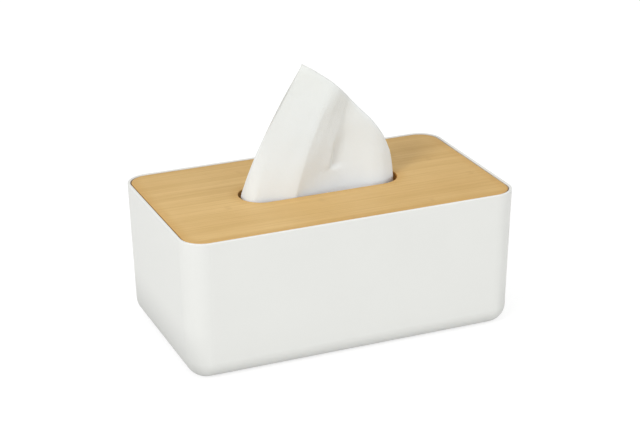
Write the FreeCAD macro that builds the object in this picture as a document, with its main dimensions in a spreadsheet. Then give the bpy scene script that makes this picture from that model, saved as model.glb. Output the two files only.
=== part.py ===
import FreeCAD, Part

import math
import os

import Sketcher

# A desk tissue box: a moulded tub, a bamboo lid that drops into its rim, the stack of folded tissues inside
# and the tissue that stands out of the lid's slot. Millimetres, +Z up. The origin is the centre of the
# tub's underside; X runs along the box and Y across it, and the tissue's open side faces -Y.

document = FreeCAD.newDocument("tissue_box")

# ---- driving sizes ----

sizes = (
    ("box_length", 245.0, "outside length at the rim"),
    ("box_width", 141.0, "outside width at the rim"),
    ("box_height", 101.5, "underside to rim"),
    ("wall_draft", 1.5, "lean of the walls in degrees, narrower at the bottom"),
    ("corner_radius", 17.2, "outside radius of the upright corners at the rim"),
    ("bottom_radius", 13.4, "outside rounding between walls and floor"),
    ("floor_thickness", 3.0, "tub floor"),
    ("rim_wall", 2.0, "wall beside the lid"),
    ("seat_width", 1.4, "ledge under the lid's edge"),
    ("rim_rounding", 0.5, "rounding of the rim's two edges"),
    ("lid_thickness", 8.0, "bamboo board"),
    ("lid_gap", 0.7, "gap around the lid"),
    ("lid_drop", 0.2, "lid's face below the rim"),
    ("lid_rounding", 0.7, "eased edges of the lid and of its slot"),
    ("slot_length", 118.4, "slot, end to end"),
    ("slot_width", 32.4, "slot, side to side"),
    ("pack_length", 200.0, "folded tissues, along the box"),
    ("pack_width", 105.0, "folded tissues, across the box"),
    ("pack_height", 60.0, "height of the stack"),
    ("fold_rounding", 3.0, "rounding of the stack's folded sides"),
    ("tissue_rise", 90.6, "tissue's tip above the lid's face"),
    ("tissue_thickness", 1.2, "tissue, with the air between its plies"),
    ("tissue_clearance", 0.4, "tissue clear of the slot's wall"),
)

sheet = document.addObject("Spreadsheet::Sheet", "Sizes")
for row, (alias, number, note) in enumerate(sizes, start=1):
    sheet.set("A%d" % row, note)
    sheet.set("B%d" % row, str(number))
    sheet.setAlias("B%d" % row, alias)
document.recompute()


def size(expression):
    """The value of an expression on the sheet, such as 'Sizes.box_length / 2'."""
    return float(sheet.evalExpression(expression))


# ---- sketches and features ----

def add_body(label, height=None):
    body = document.addObject("PartDesign::Body", label)
    body.Label = label
    if height:
        body.setExpression(".Placement.Base.z", height)
    return body


def add_sketch(body, name, height=None, plane="XY_Plane"):
    """A sketch on one of the body's own planes, moved off it by the expression given."""
    sketch = body.newObject("Sketcher::SketchObject", name)
    support = [feature for feature in body.Origin.OriginFeatures if feature.Role == plane][0]
    sketch.AttachmentSupport = [(support, "")]
    sketch.MapMode = "FlatFace"
    if height:
        sketch.setExpression(".AttachmentOffset.Base.z", height)
    return sketch


def bind(sketch, name, constraint, expression):
    index = sketch.addConstraint(constraint)
    sketch.renameConstraint(index, name)
    sketch.setExpression("Constraints." + name, expression)


def draw_loop(sketch, length, width, radius):
    """A rectangle centred on the origin with rounded corners, its three sizes bound to expressions."""
    half_length = size(length) / 2
    half_width = size(width) / 2
    corner = size(radius)
    inner_x = half_length - corner
    inner_y = half_width - corner
    sides = (
        ((-inner_x, -half_width), (inner_x, -half_width)),
        ((half_length, -inner_y), (half_length, inner_y)),
        ((inner_x, half_width), (-inner_x, half_width)),
        ((-half_length, inner_y), (-half_length, -inner_y)),
    )
    centres = ((inner_x, -inner_y), (inner_x, inner_y), (-inner_x, inner_y), (-inner_x, -inner_y))
    up = FreeCAD.Vector(0, 0, 1)
    lines = []
    arcs = []
    for quarter, (side, centre) in enumerate(zip(sides, centres)):
        start, end = (FreeCAD.Vector(*point, 0) for point in side)
        lines.append(sketch.addGeometry(Part.LineSegment(start, end)))
        circle = Part.Circle(FreeCAD.Vector(*centre, 0), up, corner)
        first = math.radians(90 * quarter - 90)
        arcs.append(sketch.addGeometry(Part.ArcOfCircle(circle, first, first + math.pi / 2)))
    for quarter in range(4):
        following = lines[(quarter + 1) % 4]
        sketch.addConstraint(Sketcher.Constraint("Tangent", lines[quarter], 2, arcs[quarter], 1))
        sketch.addConstraint(Sketcher.Constraint("Tangent", arcs[quarter], 2, following, 1))
    sketch.addConstraint(Sketcher.Constraint("Horizontal", lines[0]))
    sketch.addConstraint(Sketcher.Constraint("Vertical", lines[1]))
    sketch.addConstraint(Sketcher.Constraint("Symmetric", arcs[0], 3, arcs[2], 3, -1, 1))
    for arc in arcs[1:]:
        sketch.addConstraint(Sketcher.Constraint("Equal", arcs[0], arc))
    bind(sketch, "radius", Sketcher.Constraint("Radius", arcs[0], corner), radius)
    along = Sketcher.Constraint("DistanceX", lines[3], 1, lines[1], 1, 2 * half_length)
    bind(sketch, "length", along, length)
    across = Sketcher.Constraint("DistanceY", lines[0], 1, lines[2], 1, 2 * half_width)
    bind(sketch, "width", across, width)


def draw_slot(sketch, length, width):
    """A straight slot with round ends along X, centred on the origin."""
    end_radius = size(width) / 2
    reach = size(length) / 2 - end_radius
    up = FreeCAD.Vector(0, 0, 1)
    front = sketch.addGeometry(Part.LineSegment(FreeCAD.Vector(-reach, -end_radius, 0),
                                                FreeCAD.Vector(reach, -end_radius, 0)))
    right = sketch.addGeometry(Part.ArcOfCircle(Part.Circle(FreeCAD.Vector(reach, 0, 0), up, end_radius),
                                                -math.pi / 2, math.pi / 2))
    back = sketch.addGeometry(Part.LineSegment(FreeCAD.Vector(reach, end_radius, 0),
                                               FreeCAD.Vector(-reach, end_radius, 0)))
    left = sketch.addGeometry(Part.ArcOfCircle(Part.Circle(FreeCAD.Vector(-reach, 0, 0), up, end_radius),
                                               math.pi / 2, 3 * math.pi / 2))
    loop = (front, right, back, left)
    for first, second in zip(loop, loop[1:] + loop[:1]):
        sketch.addConstraint(Sketcher.Constraint("Tangent", first, 2, second, 1))
    sketch.addConstraint(Sketcher.Constraint("Horizontal", front))
    sketch.addConstraint(Sketcher.Constraint("Symmetric", left, 3, right, 3, -1, 1))
    bind(sketch, "width", Sketcher.Constraint("DistanceY", front, 1, back, 2, 2 * end_radius), width)
    bind(sketch, "centres", Sketcher.Constraint("DistanceX", left, 3, right, 3, 2 * reach),
         "%s - %s" % (length, width))


def add_feature(body, kind, name, sketch, length, draft=None, downwards=False):
    """A Pad or a Pocket of the sketch, as deep as the expression says, narrowing by the draft if given."""
    feature = body.newObject("PartDesign::" + kind, name)
    feature.Profile = sketch
    feature.setExpression("Length", length)
    feature.Reversed = downwards
    if draft:
        feature.setExpression("TaperAngle", draft)
    document.recompute()
    return feature


def edges_at(shape, height):
    """Names of the edges that lie level at this height."""
    tolerance = 1e-4
    names = []
    for number, edge in enumerate(shape.Edges, start=1):
        box = edge.BoundBox
        if abs(box.ZMin - height) < tolerance and abs(box.ZMax - height) < tolerance:
            names.append("Edge%d" % number)
    return names


def add_fillet(body, name, base, edges, radius):
    fillet = body.newObject("PartDesign::Fillet", name)
    fillet.Base = (base, edges)
    fillet.setExpression("Radius", radius)
    document.recompute()
    return fillet


# ---- tub ----

def make_box_body():
    """One moulding: drafted walls, rounded floor edge, and a rebate in the rim that the lid drops into."""
    body = add_body("box_body")
    rim = add_sketch(body, "RimOutline", "Sizes.box_height")
    draw_loop(rim, "Sizes.box_length", "Sizes.box_width", "Sizes.corner_radius")
    add_feature(body, "Pad", "Block", rim, "Sizes.box_height", "-Sizes.wall_draft", downwards=True)

    rebate = add_sketch(body, "RebateOutline", "Sizes.box_height")
    draw_loop(rebate, "Sizes.box_length - 2 * Sizes.rim_wall", "Sizes.box_width - 2 * Sizes.rim_wall",
              "Sizes.corner_radius - Sizes.rim_wall")
    add_feature(body, "Pocket", "Rebate", rebate, "Sizes.lid_drop + Sizes.lid_thickness")

    seat = "Sizes.box_height - Sizes.lid_drop - Sizes.lid_thickness"
    cavity = add_sketch(body, "CavityOutline", seat)
    inset = "(Sizes.rim_wall + Sizes.seat_width)"
    draw_loop(cavity, "Sizes.box_length - 2 * " + inset, "Sizes.box_width - 2 * " + inset,
              "Sizes.corner_radius - " + inset)
    hollow = add_feature(body, "Pocket", "Cavity", cavity, seat + " - Sizes.floor_thickness",
                         "-Sizes.wall_draft")
    floor_edges = edges_at(hollow.Shape, size("Sizes.floor_thickness"))
    shell = add_fillet(body, "CavityRounding", hollow, floor_edges,
                       "Sizes.bottom_radius - Sizes.floor_thickness")
    shell = add_fillet(body, "FloorRounding", shell, edges_at(shell.Shape, 0), "Sizes.bottom_radius")
    add_fillet(body, "RimRounding", shell, edges_at(shell.Shape, size("Sizes.box_height")),
               "Sizes.rim_rounding")
    return body


# ---- lid ----

def make_lid():
    """A bamboo board with the tissue slot through it, its edges eased top and bottom."""
    body = add_body("lid", "Sizes.box_height - Sizes.lid_drop - Sizes.lid_thickness")
    inset = "(Sizes.rim_wall + Sizes.lid_gap)"
    outline = add_sketch(body, "BoardOutline")
    draw_loop(outline, "Sizes.box_length - 2 * " + inset, "Sizes.box_width - 2 * " + inset,
              "Sizes.corner_radius - " + inset)
    add_feature(body, "Pad", "Board", outline, "Sizes.lid_thickness")
    opening = add_sketch(body, "SlotOutline")
    draw_slot(opening, "Sizes.slot_length", "Sizes.slot_width")
    board = add_feature(body, "Pocket", "Slot", opening, "Sizes.lid_thickness", downwards=True)
    edges = edges_at(board.Shape, 0) + edges_at(board.Shape, size("Sizes.lid_thickness"))
    add_fillet(body, "EasedEdges", board, edges, "Sizes.lid_rounding")
    return body


# ---- tissues ----

def make_tissue_pack():
    """The stack of folded tissues on the tub's floor, one solid, with its folded long sides rounded."""
    body = add_body("tissue_pack", "Sizes.floor_thickness + Sizes.pack_height / 2")
    outline = add_sketch(body, "StackOutline", plane="YZ_Plane")
    draw_loop(outline, "Sizes.pack_width", "Sizes.pack_height", "Sizes.fold_rounding")
    stack = add_feature(body, "Pad", "Stack", outline, "Sizes.pack_length")
    stack.SideType = "Symmetric"
    return body


# Each line runs up the tissue from the slot to its top, where a fold or a curve of the tissue lies. Its
# place in the slot is three shares: of half the slot's straight length along X, and of the round end's
# radius along X and Y. Lean is how far it moves along X for each unit that it rises, and the last share is
# its place across at the top, in the same radius.
tissue_lines = (
    # name, straight, round, across, lean, across at the top
    ("side edge", -1.00, -0.93, 0.12, 0.49, -0.33),
    ("left turn", -1.00, -0.76, -0.56, 0.56, -0.50),
    ("panel", -0.95, 0.00, -0.92, 0.58, -0.58),
    ("ridge", -0.63, 0.00, -0.89, 0.55, -0.40),
    ("ridge foot", -0.50, 0.00, -0.48, 0.49, -0.16),
    ("valley", -0.22, 0.00, -0.36, 0.41, 0.06),
    ("valley side", 0.17, 0.00, -0.72, 0.31, -0.13),
    ("lobe", 0.60, 0.00, -0.93, 0.20, -0.40),
    ("right turn", 1.00, 0.30, -0.84, 0.08, -0.40),
    ("right end", 1.00, 0.76, -0.30, 0.06, -0.13),
    ("hidden edge", 1.00, 0.72, 0.40, 0.06, 0.20),
)

# The tissue's free edge, from its tip down to the slot's right end: shares of half the slot's length along
# X and of the tissue's rise.
free_edge = ((-0.215, 1.0), (0.02, 0.895), (0.27, 0.746), (0.52, 0.579), (0.66, 0.464), (0.79, 0.346),
             (0.87, 0.25), (0.93, 0.155), (0.965, 0.06), (0.98, -0.06))

pack_spread = 1.4       # the tissue's width where it leaves the stack, as a share of the slot's length
pack_wave = 0.25        # and how much of its folds is left there
skirt_share = 0.2       # where the tissue starts to spread, as a share of the room under the lid
section_steps = 40      # straight steps along the tissue's width


def smooth_curve(points, knots):
    curve = Part.BSplineCurve()
    curve.interpolate(Points=points, Parameters=knots)
    return curve


def offset_curve(points, knots, distance):
    """A smooth curve beside the one through these points, all at one height."""
    curve = smooth_curve(points, knots)
    shifted = []
    for point, knot in zip(points, knots):
        tangent = curve.tangent(knot)[0]
        normal = FreeCAD.Vector(0, 0, 1).cross(tangent)
        shifted.append(point + normal * distance)
    return smooth_curve(shifted, knots)


def tissue_section(points, knots):
    """The closed outline of the thin tissue at one height, in short straight steps along its two faces."""
    half = size("Sizes.tissue_thickness") / 2
    front = offset_curve(points, knots, -half)
    back = offset_curve(points, knots, half)
    steps = [knots[-1] * step / section_steps for step in range(section_steps + 1)]
    outline = [front.value(step) for step in steps] + [back.value(step) for step in reversed(steps)]
    return Part.makePolygon(outline + outline[:1])


def make_tissue():
    """The tissue that stands out of the slot: a thin folded wall, cut off along its free edge."""
    end_radius = size("Sizes.slot_width / 2 - Sizes.tissue_clearance - Sizes.tissue_thickness / 2")
    straight = size("(Sizes.slot_length - Sizes.slot_width) / 2")
    half_slot = size("Sizes.slot_length / 2")
    rise = size("Sizes.tissue_rise")
    stack_top = size("Sizes.floor_thickness + Sizes.pack_height")
    lid_face = size("Sizes.box_height - Sizes.lid_drop")
    under_lid = lid_face - size("Sizes.lid_thickness")
    skirt = under_lid - skirt_share * (under_lid - stack_top)
    tip = lid_face + rise

    in_slot = []
    at_tip = []
    on_stack = []
    for _, along, turn, across, lean, top_across in tissue_lines:
        x = straight * along + end_radius * turn
        in_slot.append((x, end_radius * across))
        at_tip.append((x + lean * rise, end_radius * top_across))
        on_stack.append((x * pack_spread, end_radius * across * pack_wave))
    knots = [0.0]
    for (x0, y0), (x1, y1) in zip(in_slot, in_slot[1:]):
        knots.append(knots[-1] + math.hypot(x1 - x0, y1 - y0))
    wires = []
    for z, points in ((stack_top, on_stack), (skirt, in_slot), (lid_face, in_slot), (tip, at_tip)):
        wires.append(tissue_section([FreeCAD.Vector(x, y, z) for x, y in points], knots))
    wall = Part.makeLoft(wires, True, True)

    depth = size("Sizes.slot_width")
    edge_points = [FreeCAD.Vector(half_slot * x, -depth, lid_face + rise * z) for x, z in free_edge]
    edge = Part.BSplineCurve()
    edge.interpolate(edge_points)
    far_right = 2 * half_slot
    over_tip = tip + rise
    corners = (
        edge_points[-1],
        FreeCAD.Vector(far_right, -depth, edge_points[-1].z),
        FreeCAD.Vector(far_right, -depth, over_tip),
        FreeCAD.Vector(edge_points[0].x, -depth, over_tip),
        edge_points[0],
    )
    outline = Part.Wire([edge.toShape()] + Part.makePolygon(corners).Edges)
    above = Part.Face(outline).extrude(FreeCAD.Vector(0, 2 * depth, 0))

    feature = document.addObject("Part::Feature", "tissue")
    feature.Label = "tissue"
    feature.Shape = wall.cut(above)
    return feature


# ---- build, check and write ----

def check(parts):
    document.recompute()
    for item in document.Objects:
        if "Invalid" in item.State or "Error" in item.State:
            raise RuntimeError("%s failed: %s" % (item.Name, item.State))
    for part in parts:
        shape = part.Shape
        if shape.isNull() or not shape.isValid() or len(shape.Solids) != 1:
            raise RuntimeError("%s isn't one valid solid" % part.Label)


parts = (make_box_body(), make_lid(), make_tissue_pack(), make_tissue())
check(parts)
os.makedirs("parts", exist_ok=True)
for part in parts:
    part.Shape.exportStep("parts/%s.step" % part.Label)
    print(part.Label, "%.0f mm3" % part.Shape.Volume)
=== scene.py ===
import math

import bpy
import numpy as np
from mathutils import Matrix, Vector, noise


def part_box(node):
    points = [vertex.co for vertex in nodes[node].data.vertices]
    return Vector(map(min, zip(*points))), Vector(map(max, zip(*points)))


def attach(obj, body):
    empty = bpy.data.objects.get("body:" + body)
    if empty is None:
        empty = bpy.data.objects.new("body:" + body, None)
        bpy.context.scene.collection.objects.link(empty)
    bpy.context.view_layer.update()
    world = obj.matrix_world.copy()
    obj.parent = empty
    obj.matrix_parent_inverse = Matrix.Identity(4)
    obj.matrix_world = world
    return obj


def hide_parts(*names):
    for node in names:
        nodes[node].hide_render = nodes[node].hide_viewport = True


# A white tissue box with a bamboo lid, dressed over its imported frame. Metres, +Z up. X runs along the box,
# and the camera stands in front (-Y) and a little to the left.

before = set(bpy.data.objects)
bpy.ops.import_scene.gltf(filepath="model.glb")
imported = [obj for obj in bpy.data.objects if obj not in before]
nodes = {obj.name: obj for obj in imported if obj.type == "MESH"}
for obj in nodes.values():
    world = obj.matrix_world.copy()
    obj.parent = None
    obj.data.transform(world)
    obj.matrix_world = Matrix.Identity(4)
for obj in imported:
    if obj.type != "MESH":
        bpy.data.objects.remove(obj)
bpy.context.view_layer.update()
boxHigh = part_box("box_body")[1]
lidLow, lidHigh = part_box("lid")
packLow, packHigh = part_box("tissue_pack")
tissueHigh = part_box("tissue")[1]
print("frame loaded:", ", ".join(sorted(nodes)))


# Nodes are added with their settings and inputs in one call; an input is a value or another node's socket.

def addNode(tree, kind, inputs=None, **settings):
    node = tree.nodes.new(kind)
    for name, value in settings.items():
        setattr(node, name, value)
    for name, value in (inputs or {}).items():
        if isinstance(value, bpy.types.NodeSocket):
            tree.links.new(value, node.inputs[name])
        else:
            node.inputs[name].default_value = value
    return node


def addMath(tree, operation, first, second=0.0, third=0.0):
    node = addNode(tree, "ShaderNodeMath", {0: first, 1: second, 2: third}, operation=operation)
    return node.outputs[0]


def addLength(tree, first, second):
    squares = [addMath(tree, "MULTIPLY", value, value) for value in (first, second)]
    return addMath(tree, "SQRT", addMath(tree, "ADD", *squares))


def mixColours(tree, amount, first, second):
    node = addNode(tree, "ShaderNodeMix", {0: amount, 6: first, 7: second}, data_type="RGBA")
    return node.outputs[2]


def remap(tree, value, fromLow, fromHigh, toLow=0.0, toHigh=1.0):
    node = addNode(tree, "ShaderNodeMapRange", {0: value, 1: fromLow, 2: fromHigh, 3: toLow, 4: toHigh})
    return node.outputs[0]


def newGroup(name, inputs, outputs):
    group = bpy.data.node_groups.new(name, "ShaderNodeTree")
    for label, kind, value in inputs:
        socket = group.interface.new_socket(label, in_out="INPUT", socket_type=kind)
        if value is not None:
            socket.default_value = value
    for label, kind in outputs:
        group.interface.new_socket(label, in_out="OUTPUT", socket_type=kind)
    return group, group.nodes.new("NodeGroupInput").outputs, group.nodes.new("NodeGroupOutput").inputs


def newMaterial(name):
    material = bpy.data.materials.new(name)
    material.use_nodes = True
    tree = material.node_tree
    return material, tree, tree.nodes["Principled BSDF"]


def setShader(shader, values):
    for name, value in values.items():
        shader.inputs[name].default_value = value


def makeMottle():
    # shared by plastic, bamboo and paper: a slow, cloudy change of tone from 0 to 1, with fine grain on it
    group, given, made = newGroup(
        "mottle",
        (("Vector", "NodeSocketVector", None), ("Cloud Size", "NodeSocketFloat", 0.03),
         ("Grain Size", "NodeSocketFloat", 0.0006), ("Grain Share", "NodeSocketFloat", 0.3)),
        (("Tone", "NodeSocketFloat"), ("Grain", "NodeSocketFloat")))
    cloudScale = addMath(group, "DIVIDE", 1.0, given["Cloud Size"])
    grainScale = addMath(group, "DIVIDE", 1.0, given["Grain Size"])
    cloud = addNode(group, "ShaderNodeTexNoise",
                    {"Vector": given["Vector"], "Scale": cloudScale, "Detail": 3.0, "Roughness": 0.5})
    grain = addNode(group, "ShaderNodeTexNoise",
                    {"Vector": given["Vector"], "Scale": grainScale, "Detail": 2.0, "Roughness": 0.6})
    tone = addNode(group, "ShaderNodeMix",
                   {0: given["Grain Share"], 2: cloud.outputs[0], 3: grain.outputs[0]}, data_type="FLOAT")
    group.links.new(tone.outputs[0], made["Tone"])
    group.links.new(grain.outputs[0], made["Grain"])
    return group


def useGroup(tree, group, inputs):
    return addNode(tree, "ShaderNodeGroup", inputs, node_tree=group).outputs


mottle = makeMottle()


def dress(node, material):
    # the frame's own mesh takes the material
    mesh = nodes[node].data
    mesh.materials.clear()
    mesh.materials.append(material)


# White moulded plastic. The colour itself is darkened near the foot, most on the end walls, where the lamps
# give too little shade. It is not in the plastic: footShade of (0, 0) leaves it plain for other light.
plasticFinish = {
    "colour": (0.787, 0.793, 0.763, 1.0),
    "shade": (0.748, 0.753, 0.724, 1.0),
    "dark": (0.0, 0.0, 0.0, 1.0),
    "roughness": (0.44, 0.54),
    "toneReach": (0.3, 0.7),
    "ior": 1.49,
    "grainSize": 0.0005,
    "grainShare": 0.25,
    "grainDepth": 0.000012,
    "waveSize": 0.045,
    "waveDepth": 0.00012,
    "footReach": (0.008, 0.041),
    "footFalloff": 1.5,
    "footShade": (0.02, 0.28),
    "endReach": (0.108, 0.120),
}


def makePlastic(finish):
    material, tree, shader = newMaterial("whitePlastic")
    place = addNode(tree, "ShaderNodeTexCoord").outputs["Object"]
    spots = useGroup(tree, mottle, {"Vector": place, "Cloud Size": finish["waveSize"],
                                    "Grain Size": finish["grainSize"], "Grain Share": finish["grainShare"]})
    colour = mixColours(tree, spots["Tone"], finish["shade"], finish["colour"])
    apart = addNode(tree, "ShaderNodeSeparateXYZ", {0: place})
    alongBox = addMath(tree, "ABSOLUTE", apart.outputs["X"])
    atEnd = remap(tree, alongBox, *finish["endReach"], *finish["footShade"])
    nearFoot = remap(tree, apart.outputs["Z"], *finish["footReach"], 1.0, 0.0)
    darkened = addMath(tree, "MULTIPLY", addMath(tree, "POWER", nearFoot, finish["footFalloff"]), atEnd)
    tree.links.new(mixColours(tree, darkened, colour, finish["dark"]), shader.inputs["Base Color"])
    roughness = remap(tree, spots["Tone"], *finish["toneReach"], *finish["roughness"])
    tree.links.new(roughness, shader.inputs["Roughness"])
    wave = addNode(tree, "ShaderNodeTexNoise",
                   {"Vector": place, "Scale": 1 / finish["waveSize"], "Detail": 1.0})
    slow = addNode(tree, "ShaderNodeBump", {"Distance": finish["waveDepth"], "Height": wave.outputs[0]})
    fine = addNode(tree, "ShaderNodeBump", {"Distance": finish["grainDepth"], "Height": spots["Grain"],
                                            "Normal": slow.outputs[0]})
    tree.links.new(fine.outputs[0], shader.inputs["Normal"])
    setShader(shader, {"IOR": finish["ior"]})
    return material


dress("box_body", makePlastic(plasticFinish))
print("tub dressed in white plastic")


# Bamboo board: glued strips of cane along X, darker near its edges and slot, and darker on its upright sides,
# which is partly the cut sides' own colour and partly painted shade. paleEnd makes the left end paler than
# the right, which (0, 0) undoes.
bambooFinish = {
    "light": (0.700, 0.466, 0.178, 1.0),
    "deep": (0.588, 0.364, 0.112, 1.0),
    "fibre": (0.44, 0.245, 0.070, 1.0),
    "edgeDark": (0.55, 0.305, 0.070, 1.0),
    "cut": (0.47, 0.200, 0.030, 1.0),
    "stripWidth": 0.0062,
    "stripContrast": 0.55,
    "cloudSize": 0.05,
    "cloudReach": (0.35, 0.65),
    "cloudShare": 0.35,
    "grainSize": 0.0008,
    "grainShare": 0.1,
    "streakReach": (0.45, 0.72),
    "streakShare": 0.34,
    "dashReach": (0.60, 0.74),
    "dashShare": 0.22,
    "seamShare": 0.10,
    "caneShare": 0.22,
    "edgeDarkShare": 0.45,
    "cutReach": (0.2, 0.9),
    "cutShare": 0.9,
    "paleEnd": (-0.26, 0.18),
    "nodeSpacing": 0.31,
    "nodeLength": 0.0030,
    "edgeReach": 0.009,
    "roughness": (0.40, 0.52),
    "toneReach": (0.3, 0.7),
    "ior": 1.45,
    "fibreDepth": 0.00003,
    # the board's own corners and slot, which the darker edge follows
    "boardRadius": 0.0145,
    "slotLength": 0.1184,
    "slotWidth": 0.0324,
}


def makeFibres():
    # long streaks along X, and the short dark dashes of the cut vessels, each so many times as long as wide
    group, given, made = newGroup(
        "fibres",
        (("Vector", "NodeSocketVector", None), ("Streak Width", "NodeSocketFloat", 0.0012),
         ("Dash Width", "NodeSocketFloat", 0.0004)),
        (("Streaks", "NodeSocketFloat"), ("Dashes", "NodeSocketFloat")))
    marks = (("Streaks", "Streak Width", 60.0, 4.0), ("Dashes", "Dash Width", 22.0, 1.0))
    for label, width, stretch, detail in marks:
        across = addMath(group, "DIVIDE", 1.0, given[width])
        along = addMath(group, "DIVIDE", across, stretch)
        scale = addNode(group, "ShaderNodeCombineXYZ", {"X": along, "Y": across, "Z": across})
        stretched = addNode(group, "ShaderNodeVectorMath", {0: given["Vector"], 1: scale.outputs[0]},
                            operation="MULTIPLY")
        mark = addNode(group, "ShaderNodeTexNoise",
                       {"Vector": stretched.outputs[0], "Scale": 1.0, "Detail": detail, "Roughness": 0.62})
        group.links.new(mark.outputs[0], made[label])
    return group


def makeStrips():
    # the glued strips of the board: a random tone for each, and the faint joint of the cane that crosses it
    seamWidth = 0.05  # as a share of a strip
    caneWobble = 0.004
    wobbleScale = 260.0
    startShift = 71.3  # so that a strip's joints don't follow its tone
    group, given, made = newGroup(
        "strips",
        (("Vector", "NodeSocketVector", None), ("Width", "NodeSocketFloat", 0.006),
         ("Node Spacing", "NodeSocketFloat", 0.3), ("Node Length", "NodeSocketFloat", 0.003)),
        (("Tone", "NodeSocketFloat"), ("Seam", "NodeSocketFloat"), ("Cane Node", "NodeSocketFloat")))
    place = addNode(group, "ShaderNodeSeparateXYZ", {0: given["Vector"]})
    strip = addMath(group, "DIVIDE", place.outputs["Y"], given["Width"])
    number = addMath(group, "FLOOR", strip)
    tone = addNode(group, "ShaderNodeTexWhiteNoise", {"W": number}, noise_dimensions="1D")
    withinStrip = addMath(group, "FRACT", strip)
    fromSeam = addMath(group, "MINIMUM", withinStrip, addMath(group, "SUBTRACT", 1.0, withinStrip))
    start = addNode(group, "ShaderNodeTexWhiteNoise", {"W": addMath(group, "ADD", number, startShift)},
                    noise_dimensions="1D")
    wobble = addNode(group, "ShaderNodeTexNoise",
                     {"Vector": given["Vector"], "Scale": wobbleScale, "Detail": 2.0})
    bent = addMath(group, "MULTIPLY_ADD", wobble.outputs[0], caneWobble, place.outputs["X"])
    turns = addMath(group, "ADD", addMath(group, "DIVIDE", bent, given["Node Spacing"]), start.outputs[0])
    fromNode = addMath(group, "ABSOLUTE", addMath(group, "SUBTRACT", addMath(group, "FRACT", turns), 0.5))
    distance = addMath(group, "MULTIPLY", fromNode, given["Node Spacing"])
    group.links.new(tone.outputs[0], made["Tone"])
    group.links.new(remap(group, fromSeam, 0.0, seamWidth, 1.0, 0.0), made["Seam"])
    group.links.new(remap(group, distance, 0.0, given["Node Length"], 1.0, 0.0), made["Cane Node"])
    return group


def makeBoardEdge():
    # how near a point is to the board's outline or to its slot: 1 on the edge, 0 past the reach
    group, given, made = newGroup(
        "boardEdge",
        (("Vector", "NodeSocketVector", None), ("Half Size", "NodeSocketVector", None),
         ("Radius", "NodeSocketFloat", 0.0145), ("Slot Reach", "NodeSocketFloat", 0.043),
         ("Slot Radius", "NodeSocketFloat", 0.0162), ("Fade", "NodeSocketFloat", 0.009)),
        (("Edge", "NodeSocketFloat"),))
    mirrored = addNode(group, "ShaderNodeVectorMath", {0: given["Vector"]}, operation="ABSOLUTE").outputs[0]
    here = addNode(group, "ShaderNodeSeparateXYZ", {0: mirrored})
    corner = addNode(group, "ShaderNodeSeparateXYZ", {0: given["Half Size"]})
    past = []
    for axis in ("X", "Y"):
        beyond = addMath(group, "SUBTRACT", here.outputs[axis], corner.outputs[axis])
        past.append(addMath(group, "ADD", beyond, given["Radius"]))
    pastX, pastY = past
    outer = addLength(group, addMath(group, "MAXIMUM", pastX, 0.0), addMath(group, "MAXIMUM", pastY, 0.0))
    inner = addMath(group, "MINIMUM", addMath(group, "MAXIMUM", pastX, pastY), 0.0)
    toOutline = addMath(group, "SUBTRACT", given["Radius"], addMath(group, "ADD", outer, inner))
    slotX = addMath(group, "MAXIMUM", addMath(group, "SUBTRACT", here.outputs["X"], given["Slot Reach"]), 0.0)
    toSlot = addMath(group, "SUBTRACT", addLength(group, slotX, here.outputs["Y"]), given["Slot Radius"])
    nearest = addMath(group, "MINIMUM", toOutline, toSlot)
    edge = addNode(group, "ShaderNodeMapRange", {0: nearest, 1: 0.0, 2: given["Fade"], 3: 1.0, 4: 0.0},
                   interpolation_type="SMOOTHSTEP")
    group.links.new(edge.outputs[0], made["Edge"])
    return group


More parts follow.
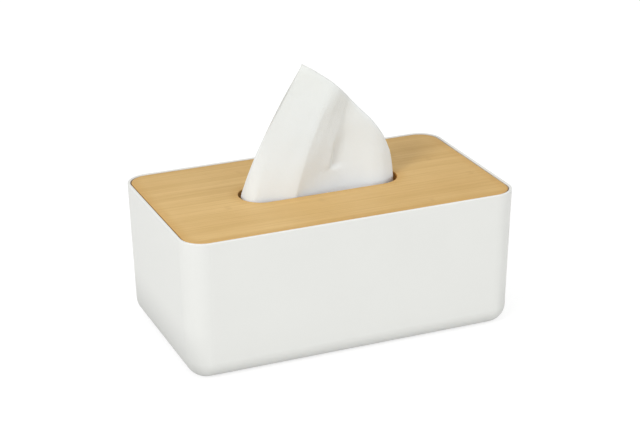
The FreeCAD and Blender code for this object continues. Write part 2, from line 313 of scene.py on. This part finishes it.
def makeBamboo(finish):
    material, tree, shader = newMaterial("bamboo")
    place = addNode(tree, "ShaderNodeTexCoord").outputs["Object"]
    fibres = useGroup(tree, makeFibres(), {"Vector": place})
    strips = useGroup(tree, makeStrips(), {"Vector": place, "Width": finish["stripWidth"],
                                           "Node Spacing": finish["nodeSpacing"],
                                           "Node Length": finish["nodeLength"]})
    spots = useGroup(tree, mottle, {"Vector": place, "Cloud Size": finish["cloudSize"],
                                    "Grain Size": finish["grainSize"], "Grain Share": finish["grainShare"]})
    edge = useGroup(tree, makeBoardEdge(), {
        "Vector": place,
        "Half Size": ((lidHigh.x - lidLow.x) / 2, (lidHigh.y - lidLow.y) / 2, 0),
        "Radius": finish["boardRadius"],
        "Slot Reach": (finish["slotLength"] - finish["slotWidth"]) / 2,
        "Slot Radius": finish["slotWidth"] / 2,
        "Fade": finish["edgeReach"]})

    tone = addMath(tree, "MULTIPLY", strips["Tone"], finish["stripContrast"])
    clouds = remap(tree, spots["Tone"], *finish["cloudReach"], 0.0, finish["cloudShare"])
    tone = addMath(tree, "ADD", tone, clouds)
    along = addNode(tree, "ShaderNodeSeparateXYZ", {0: place}).outputs["X"]
    tone = addMath(tree, "ADD", tone, remap(tree, along, lidLow.x, lidHigh.x, *finish["paleEnd"]))
    colour = mixColours(tree, tone, finish["light"], finish["deep"])
    marks = (
        remap(tree, fibres["Streaks"], *finish["streakReach"], 0.0, finish["streakShare"]),
        remap(tree, fibres["Dashes"], *finish["dashReach"], 0.0, finish["dashShare"]),
        addMath(tree, "MULTIPLY", strips["Seam"], finish["seamShare"]),
        addMath(tree, "MULTIPLY", strips["Cane Node"], finish["caneShare"]),
    )
    for mark in marks:
        colour = mixColours(tree, mark, colour, finish["fibre"])
    # the colour darkens towards the board's outline and its slot
    edgeDark = addMath(tree, "MULTIPLY", edge["Edge"], finish["edgeDarkShare"])
    colour = mixColours(tree, edgeDark, colour, finish["edgeDark"])
    normal = addNode(tree, "ShaderNodeNewGeometry").outputs["Normal"]
    level = addMath(tree, "ABSOLUTE", addNode(tree, "ShaderNodeSeparateXYZ", {0: normal}).outputs["Z"])
    # upright faces take the cut colour: partly the cut sides' own darker colour, partly painted shade
    upright = remap(tree, level, *finish["cutReach"], finish["cutShare"], 0.0)
    tree.links.new(mixColours(tree, upright, colour, finish["cut"]), shader.inputs["Base Color"])
    roughness = remap(tree, fibres["Streaks"], *finish["toneReach"], *finish["roughness"])
    tree.links.new(roughness, shader.inputs["Roughness"])
    bump = addNode(tree, "ShaderNodeBump", {"Distance": finish["fibreDepth"], "Height": fibres["Streaks"]})
    tree.links.new(bump.outputs[0], shader.inputs["Normal"])
    setShader(shader, {"IOR": finish["ior"]})
    return material


dress("lid", makeBamboo(bambooFinish))
print("lid dressed in bamboo")


# Tissue paper: fine crepe over soft clouds. nearLid is bluer than the paper, against the warm light that the
# bamboo throws on it; it fades out over lidReach above the lid, and the stack under the lid takes all of it.
paperFinish = {
    "colour": (0.733, 0.749, 0.718, 1.0),
    "shade": (0.708, 0.724, 0.694, 1.0),
    "nearLid": (0.748, 0.788, 0.808, 1.0),
    "lidReach": 0.085,
    "roughness": (0.82, 0.95),
    "toneReach": (0.3, 0.7),
    "crepeSize": 0.0005,
    "crepeStretch": (0.25, 1.0, 1.0),
    "crepeShare": 0.4,
    "crepeDepth": 0.00009,
    "fibreSize": 0.0035,
    "fibreDepth": 0.0002,
    "softness": {"Sheen Weight": 0.15, "Sheen Roughness": 0.6, "Specular IOR Level": 0.2,
                 "Subsurface Weight": 0.1, "Subsurface Radius": (0.0010, 0.0010, 0.0010),
                 "Subsurface Scale": 1.0},
}


def makePaper(name, finish, coordinates):
    material, tree, shader = newMaterial(name)
    places = addNode(tree, "ShaderNodeTexCoord").outputs
    place = places[coordinates]
    spots = useGroup(tree, mottle, {"Vector": place, "Cloud Size": finish["fibreSize"],
                                    "Grain Size": finish["crepeSize"], "Grain Share": finish["crepeShare"]})
    colour = mixColours(tree, spots["Tone"], finish["shade"], finish["colour"])
    height = addNode(tree, "ShaderNodeSeparateXYZ", {0: places["Object"]}).outputs["Z"]
    near = remap(tree, height, lidHigh.z, lidHigh.z + finish["lidReach"], 1.0, 0.0)
    tree.links.new(mixColours(tree, near, colour, finish["nearLid"]), shader.inputs["Base Color"])
    roughness = remap(tree, spots["Tone"], *finish["toneReach"], *finish["roughness"])
    tree.links.new(roughness, shader.inputs["Roughness"])
    pillow = addNode(tree, "ShaderNodeBump", {"Distance": finish["fibreDepth"], "Height": spots["Tone"]})
    stretched = addNode(tree, "ShaderNodeMapping", {"Vector": place, "Scale": finish["crepeStretch"]})
    crepe = addNode(tree, "ShaderNodeTexNoise",
                    {"Vector": stretched.outputs[0], "Scale": 1 / finish["crepeSize"], "Detail": 2.0})
    fine = addNode(tree, "ShaderNodeBump", {"Distance": finish["crepeDepth"], "Height": crepe.outputs[0],
                                            "Normal": pillow.outputs[0]})
    tree.links.new(fine.outputs[0], shader.inputs["Normal"])
    setShader(shader, finish["softness"])
    return material


sheetPaper = makePaper("tissuePaper", paperFinish, "UV")
stackPaper = makePaper("stackPaper", paperFinish, "Object")


def newObject(name, data):
    thing = bpy.data.objects.new(name, data)
    bpy.context.scene.collection.objects.link(thing)
    return thing


def bakeModifiers(piece):
    # what the modifiers make becomes the piece's own plain mesh
    graph = bpy.context.evaluated_depsgraph_get()
    mesh = bpy.data.meshes.new_from_object(piece.evaluated_get(graph))
    piece.modifiers.clear()
    piece.data = mesh
    mesh.name = piece.name
    return piece


# The standing tissue. Each of its lines runs upwards: its place in the slot, half way up, and level with the
# tip. From the slot's right end the same sheet comes back behind as a lower ply.
standing = {
    "lines": (
        # name           in the slot          half way up          at the tip
        ("side edge", (-0.0569, 0.0030), (-0.0432, -0.0086), (-0.0126, -0.0034)),
        ("left turn", (-0.0563, -0.0073), (-0.0412, -0.0091), (-0.0102, -0.0041)),
        ("left fold", (-0.0533, -0.0111), (-0.0350, -0.0100), (-0.0037, -0.0052)),
        ("panel edge", (-0.0488, -0.0123), (-0.0280, -0.0109), (0.0000, -0.0057)),
        ("panel", (-0.0410, -0.0133), (-0.0180, -0.0121), (0.0080, -0.0067)),
        ("ridge", (-0.0234, -0.0153), (-0.0066, -0.0134), (0.0206, -0.0081)),
        ("ridge foot", (-0.0190, -0.0153), (-0.0026, -0.0134), (0.0222, -0.0081)),
        ("valley", (-0.0037, -0.0152), (0.0063, -0.0132), (0.0265, -0.0080)),
        ("pocket", (0.0044, -0.0152), (0.0110, -0.0131), (0.0288, -0.0079)),
        ("pocket foot", (0.0069, -0.0152), (0.0125, -0.0131), (0.0295, -0.0079)),
        ("bank", (0.0193, -0.0153), (0.0197, -0.0130), (0.0330, -0.0078)),
        ("lobe", (0.0300, -0.0153), (0.0345, -0.0128), (0.0440, -0.0068)),
        ("shoulder", (0.0385, -0.0150), (0.0420, -0.0118), (0.0490, -0.0066)),
        ("right turn", (0.0472, -0.0126), (0.0494, -0.0096), (0.0545, -0.0060)),
        ("right end", (0.0569, -0.0034), (0.0571, -0.0022), (0.0600, -0.0010)),
        ("back turn", (0.0544, 0.0026), (0.0536, 0.0024), (0.0524, 0.0020)),
        ("back fold", (0.0420, 0.0032), (0.0385, 0.0028), (0.0360, 0.0018)),
        ("back hollow", (0.0260, 0.0002), (0.0215, -0.0004), (0.0180, -0.0006)),
        ("back ridge", (0.0010, 0.0032), (-0.0040, 0.0022), (-0.0060, 0.0006)),
        ("back slope", (-0.0240, 0.0010), (-0.0250, -0.0006), (-0.0240, -0.0022)),
        ("back end", (-0.0440, 0.0022), (-0.0400, -0.0014), (-0.0380, -0.0036)),
    ),
    # The sheet is nearly flat between its creases. At heights above the lid each one is pressed back by a
    # depth and rounded over a softness.
    "creases": (
        # line, (height, depth, softness), ...
        ("ridge", (-0.020, 0.0000, 0.0016), (0.000, 0.0000, 0.0008), (0.012, 0.0000, 0.0010),
         (0.025, 0.0000, 0.0010), (0.040, 0.0000, 0.0010), (0.050, 0.0000, 0.0012), (0.058, 0.0000, 0.0020),
         (0.080, 0.0000, 0.0080)),
        ("ridge foot", (-0.020, 0.0010, 0.0030), (-0.002, 0.0022, 0.0020), (0.008, 0.0022, 0.0025),
         (0.026, 0.0016, 0.0025), (0.045, 0.0014, 0.0025), (0.060, 0.0010, 0.0040), (0.080, 0.0000, 0.0100)),
        ("valley", (-0.020, 0.0024, 0.0060), (-0.002, 0.0053, 0.0060), (0.008, 0.0061, 0.0060),
         (0.020, 0.0054, 0.0060), (0.032, 0.0045, 0.0060), (0.045, 0.0039, 0.0060), (0.060, 0.0030, 0.0070),
         (0.080, 0.0000, 0.0100)),
        ("pocket", (-0.020, 0.0028, 0.0060), (-0.002, 0.0068, 0.0060), (0.008, 0.0078, 0.0050),
         (0.012, 0.0078, 0.0030), (0.0155, 0.0073, 0.0008), (0.020, 0.0069, 0.0008),
         (0.028, 0.0062, 0.0008), (0.034, 0.0057, 0.0020), (0.045, 0.0052, 0.0060),
         (0.060, 0.0040, 0.0080), (0.080, 0.0000, 0.0100)),
        ("pocket foot", (-0.020, 0.0030, 0.0060), (-0.002, 0.0073, 0.0060), (0.008, 0.0083, 0.0050),
         (0.012, 0.0086, 0.0030), (0.0155, 0.0101, 0.0008), (0.020, 0.0101, 0.0008),
         (0.028, 0.0087, 0.0008), (0.034, 0.0069, 0.0020), (0.045, 0.0056, 0.0060),
         (0.060, 0.0044, 0.0080), (0.080, 0.0000, 0.0100)),
        ("bank", (-0.020, 0.0038, 0.0080), (-0.002, 0.0094, 0.0070), (0.008, 0.0109, 0.0060),
         (0.020, 0.0115, 0.0050), (0.032, 0.0102, 0.0030), (0.045, 0.0080, 0.0040), (0.060, 0.0060, 0.0060),
         (0.080, 0.0000, 0.0100)),
        ("lobe", (-0.020, 0.0028, 0.0100), (-0.002, 0.0068, 0.0080), (0.008, 0.0083, 0.0080),
         (0.020, 0.0078, 0.0080), (0.032, 0.0069, 0.0080), (0.045, 0.0058, 0.0080), (0.060, 0.0050, 0.0080),
         (0.080, 0.0000, 0.0100)),
        ("shoulder", (-0.020, 0.0020, 0.0080), (-0.002, 0.0038, 0.0060), (0.008, 0.0051, 0.0060),
         (0.020, 0.0053, 0.0060), (0.032, 0.0051, 0.0060), (0.045, 0.0043, 0.0060), (0.060, 0.0040, 0.0080),
         (0.080, 0.0000, 0.0080)),
        ("right turn", (-0.020, 0.0014, 0.0080), (-0.002, 0.0030, 0.0080), (0.010, 0.0046, 0.0080),
         (0.030, 0.0048, 0.0080), (0.045, 0.0040, 0.0080), (0.060, 0.0032, 0.0080), (0.080, 0.0000, 0.0080)),
        ("right end", (-0.020, 0.0014, 0.0020), (-0.002, 0.0030, 0.0020), (0.010, 0.0046, 0.0020),
         (0.030, 0.0048, 0.0020), (0.045, 0.0040, 0.0020), (0.060, 0.0032, 0.0020), (0.080, 0.0000, 0.0020)),
        ("back turn", (-0.020, 0.0000, 0.0020), (0.080, 0.0000, 0.0020)),
    ),
    # the free edge in front, from the tip down to the slot's right end: along X, and the share of the rise
    "freeEdge": ((-0.0127, 1.0), (-0.0065, 0.962), (0.0067, 0.857), (0.0135, 0.786), (0.0200, 0.711),
                 (0.0256, 0.642), (0.0314, 0.574), (0.0377, 0.502), (0.0429, 0.427), (0.0475, 0.352),
                 (0.0510, 0.278), (0.0545, 0.195), (0.0568, 0.100), (0.0585, -0.060)),
    # and behind, from there back to the left: the line, and the share of the rise
    "backEdge": (("right end", 0.10), ("back turn", 0.04), ("back fold", 0.15), ("back hollow", 0.36),
                 ("back ridge", 0.55), ("back slope", 0.42), ("back end", 0.12)),
    "frontColumns": 240,
    "backColumns": 80,
    "rows": 150,
    "spread": 1.4,
    "wave": 0.25,
    "skirtShare": 0.2,
    "curl": 0.0012,
    "curlReach": 0.0040,
    "unevenness": 0.0005,
    "unevenSize": 0.018,
    "looseHeight": 0.03,
    "halvings": 40,
    "thickness": 0.00022,
    "flat": (0.20, 0.21),
    "flatArea": 0.0215,  # only of the part above the stack, not of the whole cut
}


def smoothLine(knots, points, where):
    # a smooth curve through the points, read at the places given
    knots, points = np.asarray(knots, float), np.asarray(points, float)
    slopes = np.gradient(points, knots, axis=0)
    right = np.clip(np.searchsorted(knots, where, side="right"), 1, len(knots) - 1)
    left = right - 1
    span = (knots[right] - knots[left])[:, None]
    t = ((where - knots[left]) / (knots[right] - knots[left]))[:, None]
    return ((2 * t**3 - 3 * t**2 + 1) * points[left] + (t**3 - 2 * t**2 + t) * span * slopes[left]
            + (3 * t**2 - 2 * t**3) * points[right] + (t**3 - t**2) * span * slopes[right])


def smoothStep(value):
    share = np.clip(value, 0.0, 1.0)
    return share * share * (3 - 2 * share)


def makeStandingTissue(shape):
    lidFace, stackTop = lidHigh.z, packHigh.z
    rise = tissueHigh.z - lidFace
    skirt = lidLow.z - shape["skirtShare"] * (lidLow.z - stackTop)
    foot = np.array([line[1] for line in shape["lines"]])
    waist = np.array([line[2] for line in shape["lines"]])
    top = np.array([line[3] for line in shape["lines"]])
    knots = np.concatenate(([0.0], np.cumsum(np.hypot(*np.diff(foot, axis=0).T))))
    names = [line[0] for line in shape["lines"]]
    turn = knots[names.index(shape["backEdge"][0][0])]
    across = np.concatenate((np.linspace(0.0, turn, shape["frontColumns"], endpoint=False),
                             np.linspace(turn, knots[-1], shape["backColumns"])))
    footLine, waistLine, topLine = (smoothLine(knots, points, across) for points in (foot, waist, top))
    places = [knots[names.index(crease[0])] for crease in shape["creases"]]

    def pressedBack(heights):
        # how far the creases press each column back at its height: straight between two, and rounded at each
        pressed = np.zeros(len(across))
        creases = []
        for _, *stations in shape["creases"]:
            stations = np.array(stations)
            within = np.clip(heights - lidFace, stations[0, 0], stations[-1, 0])
            creases.append(smoothLine(stations[:, 0], stations[:, 1:], within).T)
        slope = 0.0
        for index, (depth, softness) in enumerate(creases):
            slopeBefore, slope = slope, 0.0
            if index + 1 < len(creases):
                slope = (creases[index + 1][0] - depth) / (places[index + 1] - places[index])
            beside = across - places[index]
            pressed += (slope - slopeBefore) * (beside + np.hypot(beside, softness)) / 2
        return pressed

    def pointsAt(heights):
        # one height for each column; quadratic from the slot through the waist to the top, and flared under
        # the lid
        share = ((heights - lidFace) / rise)[:, None]
        share = np.maximum(share, 0.0)
        above = ((1 - share) * (1 - 2 * share) * footLine + 4 * share * (1 - share) * waistLine
                 + share * (2 * share - 1) * topLine)
        above[:, 1] += pressedBack(heights)
        flare = smoothStep((skirt - heights) / (skirt - stackTop))
        above[:, 0] *= 1 + (shape["spread"] - 1) * flare
        above[:, 1] *= 1 + (shape["wave"] - 1) * flare
        return above

    # in front, each column ends where it meets the free edge, which halving finds
    edgeX, edgeRise = np.array(shape["freeEdge"]).T
    edgeHeight = np.full(len(across), stackTop)
    above = np.full(len(across), tissueHigh.z)
    for _ in range(shape["halvings"]):
        middle = (edgeHeight + above) / 2
        inside = middle < lidFace + rise * np.interp(pointsAt(middle)[:, 0], edgeX, edgeRise)
        edgeHeight = np.where(inside, middle, edgeHeight)
        above = np.where(inside, above, middle)
    # behind, it ends at the heights that the back edge gives
    backPlaces = [knots[names.index(name)] for name, _ in shape["backEdge"]]
    behind = across > turn
    backRise = smoothLine(backPlaces, [[share] for _, share in shape["backEdge"]], across[behind])[:, 0]
    edgeHeight[behind] = lidFace + rise * backRise

    rows = []
    for share in np.linspace(0.0, 1.0, shape["rows"]):
        heights = stackTop + share * (edgeHeight - stackTop)
        row = np.column_stack((pointsAt(heights), heights))
        curl = np.clip(1 - (edgeHeight - heights) / shape["curlReach"], 0, 1)
        row[:, 1] += shape["curl"] * curl * curl
        loose = smoothStep((heights - lidFace) / shape["looseHeight"])
        uneven = [shape["unevenness"] * noise.noise(Vector(point) / shape["unevenSize"]) for point in row]
        row[:, 1] += uneven * loose
        rows.append(row)
    grid = np.array(rows)
    columns = len(across)
    corners = [(row * columns + column, row * columns + column + 1,
                (row + 1) * columns + column + 1, (row + 1) * columns + column)
               for row in range(shape["rows"] - 1) for column in range(columns - 1)]
    mesh = bpy.data.meshes.new("standingTissue")
    mesh.from_pydata(grid.reshape(-1, 3).tolist(), [], corners)
    layer = mesh.uv_layers.new(name="paper")
    toEdge = edgeHeight[None, :] - grid[:, :, 2]
    paper = np.stack((np.broadcast_to(across, toEdge.shape), toEdge), axis=-1).reshape(-1, 2)
    loopPoints = np.empty(len(mesh.loops), int)
    mesh.loops.foreach_get("vertex_index", loopPoints)
    layer.data.foreach_set("uv", paper[loopPoints].ravel())
    mesh.polygons.foreach_set("use_smooth", [True] * len(mesh.polygons))
    piece = newObject("standingTissue", mesh)
    mesh.materials.append(sheetPaper)
    wall = piece.modifiers.new("ply", "SOLIDIFY")
    wall.thickness = shape["thickness"]
    wall.offset = 0.0
    return bakeModifiers(piece)


tissuePiece = makeStandingTissue(standing)
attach(tissuePiece, "tub")
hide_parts("tissue")
print("standing tissue:", len(tissuePiece.data.polygons), "faces")


# The stack of folded tissues under the lid.
stack = {
    "tissues": 100,
    "seed": 7,
    "jitter": 0.0006,
    "gap": 0.00004,
    "layersApart": 3,
    "edgeInset": 0.0005,
    "widthSteps": 10,
    "foldSteps": 5,
    "lengthSteps": 16,
    "bow": 0.0012,
    "sagScale": 22.0,
    "sagMiddle": 0.6,
}


def makeFoldedTissue(shape):
    # one interfolded tissue: its two halves lie some layers apart, round the halves of its neighbours
    layer = (packHigh.z - packLow.z) / (2 * (shape["tissues"] + 1))
    thickness = layer - shape["gap"]
    halfLength = (packHigh.x - packLow.x) / 2 - shape["jitter"]
    halfWidth = (packHigh.y - packLow.y) / 2 - shape["jitter"]
    foldRadius = shape["layersApart"] / 2 * layer
    freeEdge, fold = -halfWidth + shape["edgeInset"], halfWidth - foldRadius
    middle = [(y, foldRadius, 0.0, 1.0) for y in np.linspace(freeEdge, fold, shape["widthSteps"])]
    for step in range(1, shape["foldSteps"]):
        angle = math.pi * step / shape["foldSteps"]
        middle.append((fold + foldRadius * math.sin(angle), foldRadius * math.cos(angle),
                       math.sin(angle), math.cos(angle)))
    middle += [(y, -foldRadius, 0.0, -1.0) for y in np.linspace(fold, freeEdge, shape["widthSteps"])]
    outline = [(y + outY * thickness / 2, z + outZ * thickness / 2) for y, z, outY, outZ in middle]
    outline += [(y - outY * thickness / 2, z - outZ * thickness / 2) for y, z, outY, outZ in reversed(middle)]
    count = len(outline)
    stations = np.linspace(-halfLength, halfLength, shape["lengthSteps"])
    points = [(x, y, z) for x in stations for y, z in outline]
    faces = []
    for station in range(len(stations) - 1):
        for index in range(count):
            after = (index + 1) % count
            faces.append((station * count + index, station * count + after,
                          (station + 1) * count + after, (station + 1) * count + index))
    half = count // 2
    for start, order in ((0, 1), ((len(stations) - 1) * count, -1)):
        for index in range(half - 1):
            quad = (start + index, start + count - 1 - index, start + count - 2 - index, start + index + 1)
            faces.append(quad[::order])
    mesh = bpy.data.meshes.new("foldedTissue")
    mesh.from_pydata(points, [], faces)
    mesh.update()
    return newObject("foldedTissue", mesh)


def makeStackTree():
    # copies of one folded tissue up the stack, every other one turned round, each a little out of line
    tree = bpy.data.node_groups.new("tissueStack", "GeometryNodeTree")
    tree.interface.new_socket("Geometry", in_out="OUTPUT", socket_type="NodeSocketGeometry")
    for label, kind in (("Tissue", "Object"), ("Count", "Int"), ("First Height", "Float"), ("Pitch", "Float"),
                        ("Jitter", "Float"), ("Bow", "Float"), ("Height", "Float"), ("Seed", "Int"),
                        ("Paper", "Material"), ("Sag Scale", "Float"), ("Sag Middle", "Float")):
        tree.interface.new_socket(label, in_out="INPUT", socket_type="NodeSocket" + kind)
    given = tree.nodes.new("NodeGroupInput").outputs
    made = tree.nodes.new("NodeGroupOutput").inputs
    first = addNode(tree, "ShaderNodeCombineXYZ", {"Z": given["First Height"]}).outputs[0]
    step = addNode(tree, "ShaderNodeCombineXYZ", {"Z": given["Pitch"]}).outputs[0]
    line = addNode(tree, "GeometryNodeMeshLine",
                   {"Count": given["Count"], "Start Location": first, "Offset": step})
    number = tree.nodes.new("GeometryNodeInputIndex").outputs[0]
    turned = addMath(tree, "MODULO", number, 2.0)
    turn = addNode(tree, "ShaderNodeCombineXYZ", {"Z": addMath(tree, "MULTIPLY", turned, math.pi)}).outputs[0]
    tissue = addNode(tree, "GeometryNodeObjectInfo", {"Object": given["Tissue"]}).outputs["Geometry"]
    copies = addNode(tree, "GeometryNodeInstanceOnPoints",
                     {"Points": line.outputs["Mesh"], "Instance": tissue, "Rotation": turn})
    back = addMath(tree, "MULTIPLY", given["Jitter"], -1.0)
    low = addNode(tree, "ShaderNodeCombineXYZ", {"X": back, "Y": back}).outputs[0]
    high = addNode(tree, "ShaderNodeCombineXYZ", {"X": given["Jitter"], "Y": given["Jitter"]}).outputs[0]
    slip = addNode(tree, "FunctionNodeRandomValue", {0: low, 1: high, "Seed": given["Seed"]},
                   data_type="FLOAT_VECTOR").outputs[0]
    laid = addNode(tree, "GeometryNodeTranslateInstances",
                   {"Instances": copies.outputs[0], "Translation": slip})
    real = addNode(tree, "GeometryNodeRealizeInstances", {"Geometry": laid.outputs[0]})

    place = tree.nodes.new("GeometryNodeInputPosition").outputs[0]
    apart = addNode(tree, "ShaderNodeSeparateXYZ", {0: place})
    level = addNode(tree, "ShaderNodeCombineXYZ", {"X": apart.outputs["X"], "Y": apart.outputs["Y"]})
    cloud = addNode(tree, "ShaderNodeTexNoise",
                    {"Vector": level.outputs[0], "Scale": given["Sag Scale"], "Detail": 1.0})
    sag = addMath(tree, "SUBTRACT", cloud.outputs[0], given["Sag Middle"])
    share = addMath(tree, "DIVIDE", apart.outputs["Z"], given["Height"])
    lift = addMath(tree, "MULTIPLY", addMath(tree, "MULTIPLY", sag, share), given["Bow"])
    shift = addNode(tree, "ShaderNodeCombineXYZ", {"Z": lift}).outputs[0]
    sagged = addNode(tree, "GeometryNodeSetPosition", {"Geometry": real.outputs[0], "Offset": shift})
    flat = addNode(tree, "GeometryNodeSetShadeSmooth", {0: sagged.outputs[0], "Shade Smooth": False})
    paper = addNode(tree, "GeometryNodeSetMaterial",
                    {"Geometry": flat.outputs[0], "Material": given["Paper"]})
    tree.links.new(paper.outputs[0], made["Geometry"])
    return tree


def makeStack(shape):
    sheet = makeFoldedTissue(shape)
    # one pitch more than there are tissues, for the folds at the bottom and the top
    pitch = (packHigh.z - packLow.z) / (shape["tissues"] + 1)
    piece = newObject("tissueStack", bpy.data.meshes.new("tissueStack"))
    maker = piece.modifiers.new("copies", "NODES")
    maker.node_group = makeStackTree()
    values = {"Tissue": sheet, "Count": shape["tissues"], "First Height": packLow.z + pitch, "Pitch": pitch,
              "Jitter": shape["jitter"], "Bow": shape["bow"], "Height": packHigh.z, "Seed": shape["seed"],
              "Paper": stackPaper, "Sag Scale": shape["sagScale"], "Sag Middle": shape["sagMiddle"]}
    for item in maker.node_group.interface.items_tree:
        if item.in_out == "INPUT":
            maker[item.identifier] = values[item.name]
    bakeModifiers(piece)
    bpy.data.objects.remove(sheet)
    return piece


stackPiece = makeStack(stack)
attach(stackPiece, "tub")
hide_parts("tissue_pack")
print("stack of tissues:", len(stackPiece.data.polygons), "faces")


# The floor and the light.
studio = {
    "floorSize": 6.0,
    "floorBounce": (0.57, 0.57, 0.57, 1.0),
    "floorShade": (0.36, 0.36, 0.36, 1.0),
    "floorWhite": 0.73,
    "floorFinish": {"Roughness": 0.9, "Specular IOR Level": 0.1, "Emission Strength": 1.0},
    "sky": 0.59,
    "aimShare": 0.6,
    "lamps": (
        # name, place, size, watts, and whether it leaves a shine
        ("keyLamp", (-2.66, -1.66, 1.73), 1.2, 63.5, True),
        ("fillLamp", (1.68, -2.40, 0.72), 1.4, 16.2, True),
        ("sideLamp", (2.72, -0.99, 0.84), 1.4, 10.5, True),
        ("topLamp", (-0.30, -0.30, 1.90), 1.2, 5.4, True),
        ("backLamp", (0.90, 2.70, 0.45), 1.6, 9.0, False),
    ),
}


def makeFloor(setting):
    # white all over where it is seen or mirrored; what the box shades stays darker
    material, tree, shader = newMaterial("paleFloor")
    setShader(shader, setting["floorFinish"])
    path = tree.nodes.new("ShaderNodeLightPath").outputs
    mirrored = addMath(tree, "MAXIMUM", path["Is Glossy Ray"], path["Is Transmission Ray"])
    seen = addMath(tree, "MAXIMUM", path["Is Camera Ray"], mirrored)
    glow = mixColours(tree, seen, (0, 0, 0, 1), (setting["floorWhite"],) * 3 + (1,))
    ground = mixColours(tree, seen, setting["floorBounce"], setting["floorShade"])
    tree.links.new(ground, shader.inputs["Base Color"])
    tree.links.new(glow, shader.inputs["Emission Color"])
    half = setting["floorSize"] / 2
    mesh = bpy.data.meshes.new("floor")
    corners = [(-half, -half, 0), (half, -half, 0), (half, half, 0), (-half, half, 0)]
    mesh.from_pydata(corners, [], [(0, 1, 2, 3)])
    mesh.materials.append(material)
    newObject("floor", mesh)


def makeSky(setting):
    world = bpy.data.worlds.new("studio")
    world.use_nodes = True
    bpy.context.scene.world = world
    tree = world.node_tree
    path = tree.nodes.new("ShaderNodeLightPath").outputs
    seen = addMath(tree, "MAXIMUM", path["Is Camera Ray"], path["Is Transmission Ray"])
    strength = remap(tree, seen, 0.0, 1.0, setting["sky"], 1.0)
    background = tree.nodes["Background"]
    background.inputs["Color"].default_value = (1, 1, 1, 1)
    tree.links.new(strength, background.inputs["Strength"])


def makeLamps(setting):
    aim = Vector((0, 0, boxHigh.z * setting["aimShare"]))
    for name, place, size, watts, shines in setting["lamps"]:
        lamp = bpy.data.lights.new(name, "AREA")
        lamp.shape = "DISK"
        lamp.size = size
        lamp.energy = watts
        holder = newObject(name, lamp)
        holder.location = place
        holder.rotation_euler = (aim - Vector(place)).to_track_quat("-Z", "Y").to_euler()
        holder.visible_glossy = shines


makeFloor(studio)
makeSky(studio)
makeLamps(studio)
bpy.context.scene.view_settings.view_transform = "Standard"

camera = {
    "target": (0.0009, 0.0, 0.0747),
    "distance": 1.2533,
    "azimuth": -22.78,
    "elevation": 22.16,
    "roll": -0.48,
    "lens": 99.58,
    "sensor": 36.0,
    "clipStart": 0.05,
}


def makeCamera(setting):
    azimuth, elevation, roll = (math.radians(setting[name]) for name in ("azimuth", "elevation", "roll"))
    back = Vector((math.sin(azimuth) * math.cos(elevation), -math.cos(azimuth) * math.cos(elevation),
                   math.sin(elevation)))
    level = Vector((0, 0, 1)).cross(back).normalized()
    upright = back.cross(level)
    right = level * math.cos(roll) + upright * math.sin(roll)
    up = upright * math.cos(roll) - level * math.sin(roll)
    data = bpy.data.cameras.new("camera")
    data.lens = setting["lens"]
    data.sensor_width = setting["sensor"]
    data.clip_start = setting["clipStart"]
    holder = newObject("camera", data)
    holder.rotation_euler = Matrix((right, up, back)).transposed().to_euler()
    holder.location = Vector(setting["target"]) + back * setting["distance"]
    bpy.context.scene.camera = holder


makeCamera(camera)
print("studio and camera ready")
